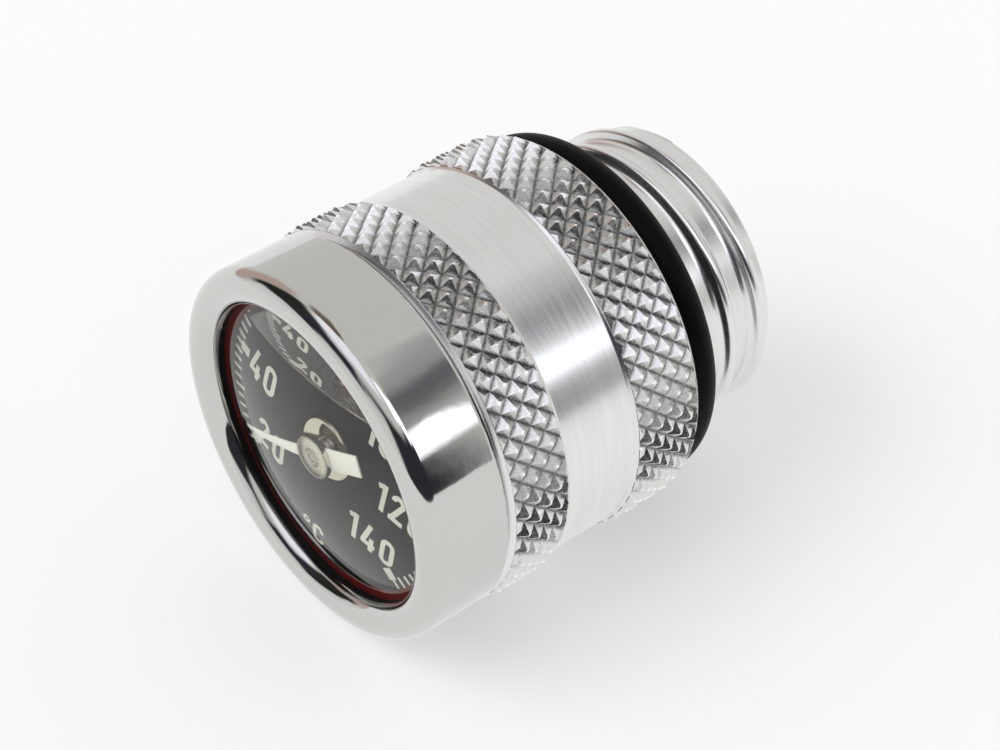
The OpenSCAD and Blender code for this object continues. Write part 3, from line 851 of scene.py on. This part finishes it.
@dataclass
class BezelAndLens:
    """The chromed bezel, with the domed lens and its red gasket under the bezel's lip."""

    outer_r: float = 15.2
    rear_s: float = -18.35
    length: float = 7.1
    front_round: float = 1.45
    rear_round: float = 0.45
    opening_r: float = 12.26
    lip_rise: float = 1.05
    lip_t: float = 0.3
    wall: float = 1.3
    roll: float = 0.45
    spigot_r: float = 13.2
    front_ring_t: float = 0.53
    lens_rise: float = 2.03
    lens_t: float = 1.5
    lens_rim_t: float = 1.2
    lens_r: float = 13.88
    lens_gap: float = 0.06
    clear_r: float = 11.05
    # Faces of the lens whose normals point back by more than this are wetted by the oil
    wetted_tilt: float = 0.3
    gasket_t: float = 0.6
    gasket_r: float = 11.3
    gasket_bulge: float = 0.18

    @property
    def crest_s(self) -> float:
        """Station of the bezel's crest."""
        return self.rear_s - self.length

    @property
    def lip_back_s(self) -> float:
        """Station of the lip's rear face."""
        return self.crest_s + self.lip_rise + self.lip_t

    @property
    def rim_s(self) -> float:
        """Station of the front of the lens's rim."""
        return self.lip_back_s + self.front_ring_t

    @property
    def ball_r(self) -> float:
        """Radius of the lens's front dome."""
        return (self.opening_r**2 + self.lens_rise**2) / (2 * self.lens_rise)

    @property
    def ball_s(self) -> float:
        """Station of the dome's centre."""
        return self.rim_s - self.lens_rise + self.ball_r

    def dome(self, radius: float, inset: float = 0.0) -> float:
        """Station of the lens's dome at a radius.

        Args:
            radius: Distance from the axis.
            inset: How far inside the front dome.

        Returns:
            The station in millimetres.
        """
        return self.ball_s - math.sqrt((self.ball_r - inset) ** 2 - radius**2)

    def dome_points(self, reach: float, steps: int, inset: float = 0.0) -> list[Point]:
        """Points along the dome's section, from the axis outwards.

        Args:
            reach: Radius of the last point.
            steps: How many steps the section has.
            inset: How far inside the front dome.

        Returns:
            The points from the axis to the reach.
        """
        return [(reach * i / steps, self.dome(reach * i / steps, inset)) for i in range(steps + 1)]

    def build(self) -> None:
        """Makes the bezel, the lens and its gasket."""
        self.bezel()
        self.lens()
        dress_nodes(lens_front_ring=GASKET_RUBBER)
        self.gasket()

    def bezel(self) -> None:
        """Turns the bezel with its rounded front, its oval lip and its rolled rear rim."""
        bore = self.outer_r - self.wall
        rolled = self.rear_s - self.roll
        crest_r = self.outer_r - self.front_round
        piece = lathe("bezel_ring", [
            *arc((crest_r, self.lip_back_s), crest_r - self.opening_r, 180, 270, 32,
                 along=self.lip_back_s - self.crest_s),
            *arc((crest_r, self.crest_s + self.front_round), self.front_round, 270, 360, 32)[1:],
            *arc((self.outer_r - self.rear_round, self.rear_s - self.rear_round), self.rear_round, 0, 90, 10),
            (self.spigot_r, self.rear_s), (self.spigot_r, rolled), (bore, rolled), (bore, self.lip_back_s)])
        fit(piece, CHROMED_BRASS, Body.HEAD, "bezel_chrome", "bezel")

    def gasket(self) -> None:
        """Cuts the red gasket behind the lens, whose inner edge bulges where the lens presses it."""
        front = self.rim_s + self.lens_rim_t
        half = self.gasket_t / 2
        # The flat sides cross halfway, which leaves a shallow groove in front, mostly under the bezel's lip
        edge = arc((self.gasket_r + self.gasket_bulge, front + half), self.gasket_bulge, 90, 270, 12, half)
        piece = lathe("gasket_ring", [
            *reversed(edge), (self.lens_r, front), (self.lens_r, front + self.gasket_t)])
        fit(piece, RED_FIBRE, Body.HEAD, "red_fibre_gasket", "lens_gasket")

    def lens(self) -> None:
        """Turns the lens: its front is in air, and its back is wetted by the oil."""
        rim, back = self.rim_s, self.rim_s + self.lens_rim_t
        dome_r = self.opening_r - self.lens_gap
        piece = lathe("lens_window", [
            *self.dome_points(dome_r, 24), (dome_r, rim), (self.lens_r, rim), (self.lens_r, back),
            (self.clear_r, back), *reversed(self.dome_points(self.clear_r, 16, self.lens_t))])
        fit(piece, ACRYLIC, Body.HEAD, "clear_lens", "lens")
        piece.data.materials.append(WETTED_ACRYLIC.material())
        for face in piece.data.polygons:
            face.material_index = int(face.normal.y > self.wetted_tilt)


@dataclass
class Filling:
    """The clear oil with the air bubble that floats at its top."""

    lens: BezelAndLens
    chamber_r: float = 11.18
    dial_s: float = -19.74
    film: float = 0.07
    oil_gap: float = 0.03
    level: float = 6.85
    # Gaps between the bubble and the wall, the dial and the lens, where a film of oil stays
    wall_gap: float = 0.06
    dial_gap: float = 0.12
    lens_gap: float = 0.08
    edge_round: float = 1.4
    # The bubble's front is laid flat at the lens's station this far out, as a share, and then bent
    flat_share: float = 0.87
    slice_w: float = 0.5

    def build(self) -> None:
        """Makes the oil with the bubble as a cavity in it."""
        piece = self.outside()
        bubble = self.bubble()
        deselect()
        bubble.select_set(True)
        piece.select_set(True)
        bpy.context.view_layer.objects.active = piece
        piece.data.materials.append(WETTED_ACRYLIC.material())
        piece.data.materials.append(CLEAR_OIL.material())
        bpy.ops.object.join()
        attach(piece, Body.SCREW.value)
        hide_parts("damping_oil")
        LOG.info("oil_filling: %d faces on %s", len(piece.data.polygons), Body.SCREW.value)

    def outside(self) -> bpy.types.Object:
        """Turns the oil's outside, which its walls wet all over.

        Returns:
            The oil as a piece without its bubble.
        """
        back = self.dial_s - self.film
        front = self.lens.dome_points(self.chamber_r, 16, self.lens.lens_t + self.oil_gap)
        return lathe("oil_filling", [*front, (self.chamber_r, back), (0.0, back)], SMALL_ROUND_STEPS)

    def bubble(self) -> bpy.types.Object:
        """Shapes the bubble: flat below, following the wall above and the lens in front, with rounded edges.

        Returns:
            The bubble's skin, its faces turned into the air.
        """
        radius = self.chamber_r - self.wall_gap
        half = math.acos(self.level / radius)
        steps = 40
        rear = self.dial_s - self.dial_gap
        front = self.skin_front(radius * self.flat_share)
        deselect()
        bpy.ops.mesh.primitive_circle_add(vertices=steps + 1, radius=MM, fill_type="NGON",
                                          rotation=(math.pi / 2, 0, 0))
        piece = named("bubble")
        bpy.ops.object.transform_apply(location=True, rotation=True, scale=False)
        for i, vertex in enumerate(piece.data.vertices):
            angle = math.pi / 2 - half + 2 * half * i / steps
            vertex.co = (radius * math.cos(angle) * MM, rear * MM, radius * math.sin(angle) * MM)
        with shaping(piece):
            bpy.ops.mesh.select_all(action="SELECT")
            bpy.ops.mesh.extrude_region_move(TRANSFORM_OT_translate={"value": (0, (front - rear) * MM, 0)})
        close_up(piece, None)
        break_edges(piece, self.edge_round, 12, sharper_than=50.0)
        self.slice_up(piece, half * radius)
        for vertex in piece.data.vertices:
            x, y, z = vertex.co / MM
            share = max(0.0, min(1.0, (rear - y) / (rear - front)))
            vertex.co.y += (self.skin_front(math.hypot(x, z)) - front) * share * MM
        with shaping(piece):
            bpy.ops.mesh.select_all(action="SELECT")
            bpy.ops.mesh.remove_doubles(threshold=MERGE_DISTANCE)
            bpy.ops.mesh.normals_make_consistent(inside=True)
            bpy.ops.mesh.faces_shade_smooth()
        piece.data.materials.append(CLEAR_OIL.material())
        return piece

    def skin_front(self, radius: float) -> float:
        """Gives the station of the bubble's front skin, just behind the lens."""
        return self.lens.dome(radius, self.lens.lens_t + self.lens_gap)

    def slice_up(self, bubble: bpy.types.Object, reach: float) -> None:
        """Cuts the bubble's faces into small ones, so that they can follow the lens.

        Args:
            bubble: The bubble before it is bent.
            reach: How far it reaches to either side, in millimetres.
        """
        across = np.arange(-math.floor(reach), reach, self.slice_w)
        upward = np.arange(self.level + self.slice_w, self.chamber_r, self.slice_w)
        cuts = [((float(x), 0.0, 0.0), (1, 0, 0)) for x in across]
        cuts += [((0.0, 0.0, float(z)), (0, 0, 1)) for z in upward]
        for place, normal in cuts:
            with shaping(bubble):
                bpy.ops.mesh.select_all(action="SELECT")
                bpy.ops.mesh.bisect(plane_co=[c * MM for c in place], plane_no=normal)


@dataclass
class Dial:
    """The dial with its print and bearing boss, in its black ring, and the case behind it."""

    face_s: float = -19.74
    boss_r: float = 2.55
    boss_h: float = 0.6
    boss_round: float = 0.35
    boss_bore: float = 0.55
    bore_chamfer: Point = (0.08, 0.05)
    spigot_r: float = 1.2
    spigot_l: float = 1.0
    wall_r: float = 11.25
    wall_s: float = -21.75
    wall_chamfer: float = 0.1
    plate_r: float = 11.98

    def build(self) -> None:
        """Makes the boss and the ring, and dresses the CAD solids."""
        self.boss()
        wall = lathe("spacer_wall", [
            (self.wall_r + self.wall_chamfer, self.wall_s), (self.wall_r, self.wall_s + self.wall_chamfer),
            (self.wall_r, self.face_s), (self.plate_r, self.face_s), (self.plate_r, self.wall_s)])
        fit(wall, BLACK_ACETAL, Body.HEAD, "black_spacer_plastic", "spacer_ring")
        dress_nodes(dial_plate=DIAL_LACQUER, dial_print=DIAL_INK, case=BLACK_LACQUER,
                    brake_ring=NITRILE_RUBBER, retaining_clip=SPRING_STEEL, fill_plug=TURNED_BRASS)

    def boss(self) -> None:
        """Turns the bearing boss with its spigot behind the dial."""
        top = self.face_s - self.boss_h
        end = self.face_s + self.spigot_l
        boss = lathe("bearing_boss", [
            (self.boss_bore, top + self.bore_chamfer[1]), (self.boss_bore + self.bore_chamfer[0], top),
            *arc((self.boss_r - self.boss_round, top + self.boss_round), self.boss_round, 270, 360, 10),
            (self.boss_r, self.face_s), (self.spigot_r, self.face_s), (self.spigot_r, end),
            (self.boss_bore, end)], SMALL_ROUND_STEPS)
        fit(boss, POLISHED_NICKEL, Body.HEAD, "polished_nickel", "dial_bearing_boss")


@dataclass
class PointerMovement:
    """The pointer with its hub, and the spindle and coil that turn it."""

    # The dial's turn on the table, where its lowest mark is, and its span in degrees of angle and of heat
    dial_turn: float = 11.8
    lowest_mark: float = -133.0
    scale_angle: float = 266.0
    scale_heat: float = 120.0
    # What the pointer shows, in degrees of heat above the lowest mark
    shown: float = 3.6
    plane_s: float = -22.07
    thickness: float = 0.25
    needle_l: float = 9.8
    needle_w: float = 1.0
    tip_w: float = 0.3
    shoulder_l: float = 1.02
    tail_l: float = 4.85
    tail_w: float = 1.7
    hub_r: float = 1.7
    hub_t: float = 0.8
    hub_round: float = 0.1
    bore_r: float = 0.55
    bore_end: float = 0.32
    # The hub's face from its staked centre to its rim, as radius and depth
    hub_face: tuple[Point, ...] = ((0.0, 0.1), (0.28, 0.1), (0.36, 0.02), (0.5, 0.02), (0.56, 0.06),
                                   (0.66, 0.06), (0.74, 0.01), (1.4, 0.01), (1.46, 0.04), (1.5, 0.04),
                                   (1.56, 0.0))

    def build(self) -> None:
        """Makes the pointer and its hub and dresses the CAD solids."""
        self.pointer()
        self.hub()
        dress_nodes(spindle=STAINLESS, spindle_collar=STAINLESS, coil_collar=TURNED_BRASS,
                    bimetal_coil=BIMETAL)

    def pointer(self) -> None:
        """Cuts the pointer from sheet, tapered to its tip, with softened edges."""
        side = [(self.tip_w / 2, self.needle_l), (self.needle_w / 2, self.shoulder_l), (self.tail_w / 2, 0.0),
                (self.tail_w / 2, -self.tail_l)]
        outline = [*side, *((-x, z) for x, z in reversed(side))]
        turn = math.radians(self.dial_turn + self.lowest_mark
                            + self.shown * self.scale_angle / self.scale_heat)
        deselect()
        bpy.ops.mesh.primitive_circle_add(vertices=len(outline), radius=MM, fill_type="NGON")
        piece = named("pointer_blade")
        for vertex, (x, z) in zip(piece.data.vertices, outline):
            vertex.co = ((x * math.cos(turn) + z * math.sin(turn)) * MM, (self.plane_s + self.thickness) * MM,
                         (z * math.cos(turn) - x * math.sin(turn)) * MM)
        with shaping(piece):
            bpy.ops.mesh.select_all(action="SELECT")
            bpy.ops.mesh.extrude_region_move(TRANSFORM_OT_translate={"value": (0, -self.thickness * MM, 0)})
        close_up(piece, None)
        break_edges(piece)
        fit(close_up(piece), POINTER_PAINT, Body.POINTER, "white_pointer_paint", "pointer")

    def hub(self) -> None:
        """Turns the hub: a thick disc with a rim, tool rings and a staked centre."""
        top = self.plane_s - self.hub_t
        hub = lathe("hub_disc", [
            *((radius, top + depth) for radius, depth in self.hub_face),
            *arc((self.hub_r - self.hub_round, top + self.hub_round), self.hub_round, 270, 360, 6),
            (self.hub_r, self.plane_s), (self.bore_r, self.plane_s), (self.bore_r, top + self.bore_end),
            (0.0, top + self.bore_end)], SMALL_ROUND_STEPS)
        fit(hub, TURNED_NICKEL, Body.POINTER, "turned_nickel", "pointer_hub")


@dataclass
class SensingStem:
    """The stem behind the head, shown as its CAD solids."""

    def build(self) -> None:
        """Dresses the stem's solids."""
        dress_nodes(stem_tube=STAINLESS, stem_plug=STAINLESS, stem_guide_bush=TURNED_BRASS,
                    coil_anchor=TURNED_BRASS)


@dataclass(frozen=True)
class RoomArea:
    """A soft-edged area of the room, which polished metal mirrors or which lights matt surfaces.

    Azimuth runs in degrees from the dial's side over +X, and height in degrees upwards from the level.
    """

    azimuth: float
    half_width: float
    low: float
    high: float
    colour: str
    level: float = 1.0
    blur: float = 5.0

    def lay_over(self, shader: Shader, direction: Socket, below: Socket) -> Socket:
        """Paints the area over what lies below it.

        Args:
            shader: The world's node tree.
            direction: The looked-up direction.
            below: The colour socket under this area.

        Returns:
            The colour with the area in it.
        """
        flat = shader.add("VectorMath", {0: direction, 1: (1.0, 1.0, 0.0)}, operation="MULTIPLY").outputs[0]
        flat = shader.add("VectorMath", {0: flat}, operation="NORMALIZE").outputs[0]
        turn = math.radians(self.azimuth)
        along = shader.add("VectorMath", {0: flat, 1: (math.sin(turn), -math.cos(turn), 0.0)},
                           operation="DOT_PRODUCT").outputs["Value"]
        share = self.step(shader, along, math.cos(math.radians(self.half_width + self.blur)),
                          math.cos(math.radians(max(self.half_width - self.blur, 0.0))))
        height = shader.add("SeparateXYZ", {0: direction}).outputs[2]
        for edge, blur in ((self.low, self.blur), (self.high, -self.blur)):
            inside = self.step(shader, height, math.sin(math.radians(edge - blur)),
                               math.sin(math.radians(edge + blur)))
            share = shader.add("Math", {0: share, 1: inside}, operation="MULTIPLY").outputs[0]
        light = [part * self.level for part in linear(self.colour)[:3]]
        return shader.add("Mix", {"Factor": share, "A": below, "B": (*light, 1.0)},
                          data_type="RGBA").outputs["Result"]

    @staticmethod
    def step(shader: Shader, value: Socket, start: float, end: float) -> Socket:
        """Gives 0 at start, 1 at end and a smooth rise between them."""
        return shader.add("MapRange", {"Value": value, "From Min": start, "From Max": end},
                          interpolation_type="SMOOTHSTEP").outputs[0]


@dataclass
class Studio:
    """Pale table, soft room light and the camera."""

    floor_s: float = -15.5
    floor_r: float = 700.0
    floor_colour: str = "f4f4f3"
    floor_glow: str = "fefefe"
    # How much of the floor's look is its glow, for the camera and for mirrors and glass
    camera_glow: float = 0.4
    mirror_glow: float = 0.75
    sensor_w: float = 36.0
    focal_l: float = 82.26
    place: tuple[float, float, float] = (99.7, -90.7, 116.7)
    right: tuple[float, float, float] = (0.645, 0.7642, 0.0)
    up: tuple[float, float, float] = (-0.5153, 0.4348, 0.7385)
    forward: tuple[float, float, float] = (-0.5644, 0.4763, -0.6743)
    soft_level: float = 0.74
    # The wide window that lights matt surfaces from the picture's left
    soft_window: RoomArea = RoomArea(341, 30, 34, 64, "ffffff", 4.7, blur=12)
    wall: str = "e4e3e1"
    # How far the room's edges waver in a mirror
    waver: float = 0.16
    waver_scale: float = 3.0
    areas: tuple[RoomArea, ...] = (
        # Warm wall on the left of the picture, and a darker area over it
        RoomArea(272, 12, -8, 46, "cdb7b0", blur=8),
        RoomArea(255, 30, 60, 84, "75695f", blur=6),
        # Dark corner, with the bright end of the table below it
        RoomArea(308, 24, 8, 52, "2a2d29"),
        RoomArea(344, 22, 21, 46, "2c2a3c", blur=6),
        RoomArea(24, 16, 28, 40, "67676d", blur=7),
        RoomArea(345, 50, -6, 14, "f2f2f2", blur=4),
        # Dark area in front of the table, and the grey wall beside it
        RoomArea(74, 46, -8, 37, "35333a", blur=6),
        RoomArea(136, 14, 34, 55, "737277", blur=9),
        RoomArea(150, 12, 50, 60, "b4b3b4", blur=7),
        # Bright ceiling light, and the window that comes down from it
        RoomArea(0, 66, 57, 88, "f6f3ff", 1.35, blur=4),
        RoomArea(95, 9, 44, 66, "f4f6ff", 2.6, blur=3),
        RoomArea(108, 8, 31, 54, "f4f6ff", 2.8, blur=3),
        RoomArea(119.5, 5.5, 19, 31, "f4f6ff", 3.0, blur=2.5),
    )

    def build(self) -> None:
        """Sets up the camera, the table, the room and the view."""
        self.camera()
        self.table()
        self.room()
        bpy.context.scene.view_settings.view_transform = "Standard"

    def camera(self) -> None:
        """Puts the camera where the photograph was taken."""
        deselect()
        bpy.ops.object.camera_add()
        camera = named("camera")
        axes = Matrix([self.right, self.up, [-c for c in self.forward]]).transposed()
        camera.matrix_world = Matrix.Translation(Vector(self.place) * MM) @ axes.to_4x4()
        camera.data.lens = self.focal_l
        camera.data.sensor_width = self.sensor_w
        camera.data.clip_start = 0.01
        bpy.context.scene.camera = camera

    def rays(self, shader: Shader) -> tuple[Socket, Socket]:
        """Tells the camera's rays, and those that metal or glass sends on.

        Args:
            shader: The node tree of the table or the world.

        Returns:
            Two sockets that are 1 for the one and for the other kind of ray, and else 0.
        """
        ray = shader.add("LightPath").outputs
        sent_on = shader.add("Math", {0: ray["Is Glossy Ray"], 1: ray["Is Transmission Ray"]},
                             operation="MAXIMUM").outputs[0]
        return ray["Is Camera Ray"], sent_on

    def table(self) -> None:
        """Lays the white table. The camera, mirrors and glass see it a little brighter than it is lit."""
        deselect()
        bpy.ops.mesh.primitive_circle_add(vertices=128, radius=self.floor_r * MM, fill_type="NGON",
                                          location=(0, 0, self.floor_s * MM))
        floor = named("table")
        material = bpy.data.materials.new("white_table")
        material.use_nodes = True
        floor.data.materials.append(material)
        shader = Shader(material.node_tree)
        seen, mirrored = self.rays(shader)
        share = shader.add("Math", {0: seen, 1: self.camera_glow}, operation="MULTIPLY").outputs[0]
        share = shader.add("Math", {0: mirrored, 1: self.mirror_glow, 2: share},
                           operation="MULTIPLY_ADD").outputs[0]
        matt = shader.add("BsdfDiffuse", {"Color": linear(self.floor_colour)})
        glow = shader.add("Emission", {"Color": linear(self.floor_glow), "Strength": 1.0})
        lit = shader.add("MixShader", {0: share, 1: matt.outputs[0], 2: glow.outputs[0]})
        shader.add("OutputMaterial", {"Surface": lit.outputs[0]})

    def room(self) -> None:
        """Lights matt surfaces evenly, and shows mirrors and glass a room with dark corners and a window."""
        world = bpy.data.worlds.new("room")
        bpy.context.scene.world = world
        world.use_nodes = True
        shader = Shader(world.node_tree)
        direction = shader.add("TexCoord").outputs["Generated"]
        uneven = shader.add("TexNoise", {"Vector": direction, "Scale": self.waver_scale,
                                         "Detail": 2.0}).outputs["Color"]
        bent = shader.add("VectorMath", {0: uneven, 1: (0.5, 0.5, 0.5)}, operation="SUBTRACT").outputs[0]
        bent = shader.add("VectorMath", {0: bent, 1: (self.waver,) * 3, 2: direction},
                          operation="MULTIPLY_ADD").outputs[0]
        shown = shader.add("RGB").outputs[0]
        shown.default_value = linear(self.wall)
        for area in self.areas:
            shown = area.lay_over(shader, bent, shown)
        soft = shader.add("RGB").outputs[0]
        soft.default_value = (self.soft_level, self.soft_level, self.soft_level, 1.0)
        soft = self.soft_window.lay_over(shader, direction, soft)
        seen, mirrored = self.rays(shader)
        light = shader.add("Mix", {"Factor": mirrored, "A": soft, "B": shown},
                           data_type="RGBA").outputs["Result"]
        light = shader.add("Mix", {"Factor": seen, "A": light, "B": (1.0, 1.0, 1.0, 1.0)},
                           data_type="RGBA").outputs["Result"]
        glow = shader.add("Background", {"Color": light, "Strength": 1.0})
        shader.add("OutputWorld", {"Surface": glow.outputs[0]})


def main() -> None:
    """Builds the studio and every sub-assembly in order."""
    logging.basicConfig(level=logging.INFO, format="%(name)s %(message)s")
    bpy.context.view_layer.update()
    Studio().build()
    bezel = BezelAndLens()
    for part in (FillerScrew(), bezel, Filling(bezel), Dial(), PointerMovement(), SensingStem()):
        part.build()
        LOG.info("%s done", type(part).__name__)


if __name__ == "__main__":
    main()
